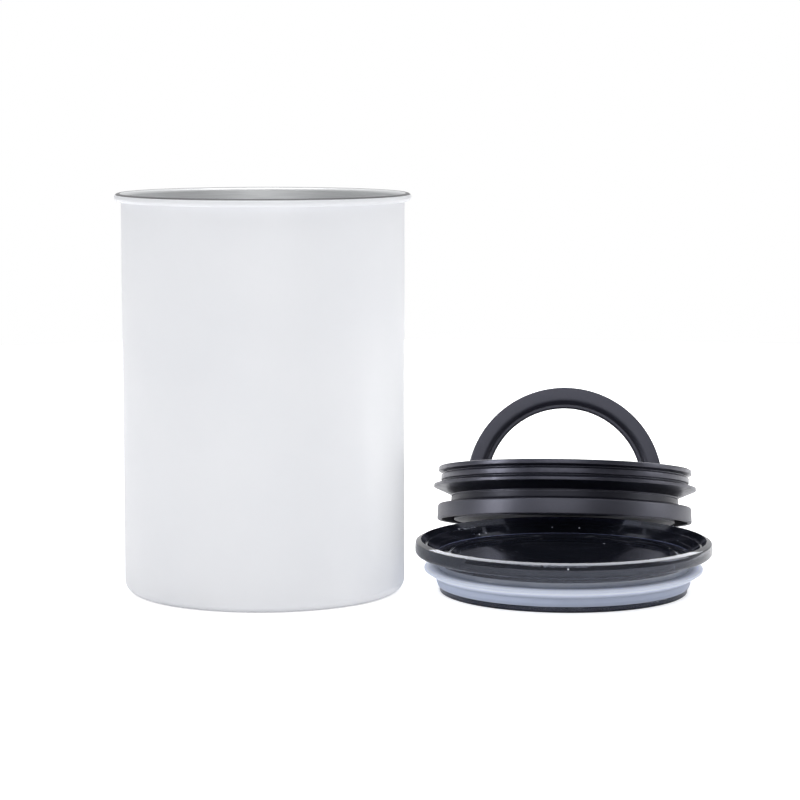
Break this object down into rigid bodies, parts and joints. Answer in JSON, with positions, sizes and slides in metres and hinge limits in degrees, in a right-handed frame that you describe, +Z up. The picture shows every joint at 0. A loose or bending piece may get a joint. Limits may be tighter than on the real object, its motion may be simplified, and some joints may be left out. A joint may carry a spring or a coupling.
{
  "type": "coffee canister with valve",
  "caption": "Round steel coffee canister with a clear outer lid and a plunger inner lid, whose folding handle opens and shuts an air valve.",
  "frame": {"origin": "centre of the canister's foot, on the surface it stands on", "axes": "+Z up along the canister's axis, +X towards the outer lid lying beside it, +Y to the back, where the inner lid leans"},
  "size_m": [0.2602, 0.2336, 0.171],
  "materials": {
    "white_paint": "matte white powder coat outside, bare steel inside",
    "steel": "satin",
    "smoked_plastic": "smoked, clear and glossy",
    "clear_silicone": "translucent",
    "black_plastic": "fine matte texture",
    "black_silicone": "matte"
  },
  "bodies": {
    "canister": {"can_shell": "white_paint", "base_plate": "steel"},
    "outer_lid": {"outer_lid": "smoked_plastic", "outer_lid_panel": "smoked_plastic", "outer_lid_gasket": "clear_silicone"},
    "inner_lid": {"inner_lid_base": "black_plastic", "inner_lid_deck": "black_plastic", "wiper_gasket": "black_silicone", "valve_seat": "black_silicone"},
    "handle": {"handle_frame": "black_plastic", "handle_cover": "black_plastic", "pivot_pins": "steel", "valve_stopper": "black_silicone"}
  },
  "joints": [
    {"name": "outer_lid_lift", "type": "slide", "parent": "canister", "child": "outer_lid", "axis": [0, 0, 1], "range_m": [0, 0.2]},
    {"name": "inner_lid_lift", "type": "slide", "parent": "outer_lid", "child": "inner_lid", "axis": [0, 0, 1], "range_m": [0, 0.2]},
    {"name": "handle_fold", "type": "hinge", "parent": "inner_lid", "child": "handle", "pos_m": [0.13566, 0.10626, 0.02966], "axis": [-0.9998, 0.0108, 0.0189], "range_deg": [0, 90]}
  ]
}
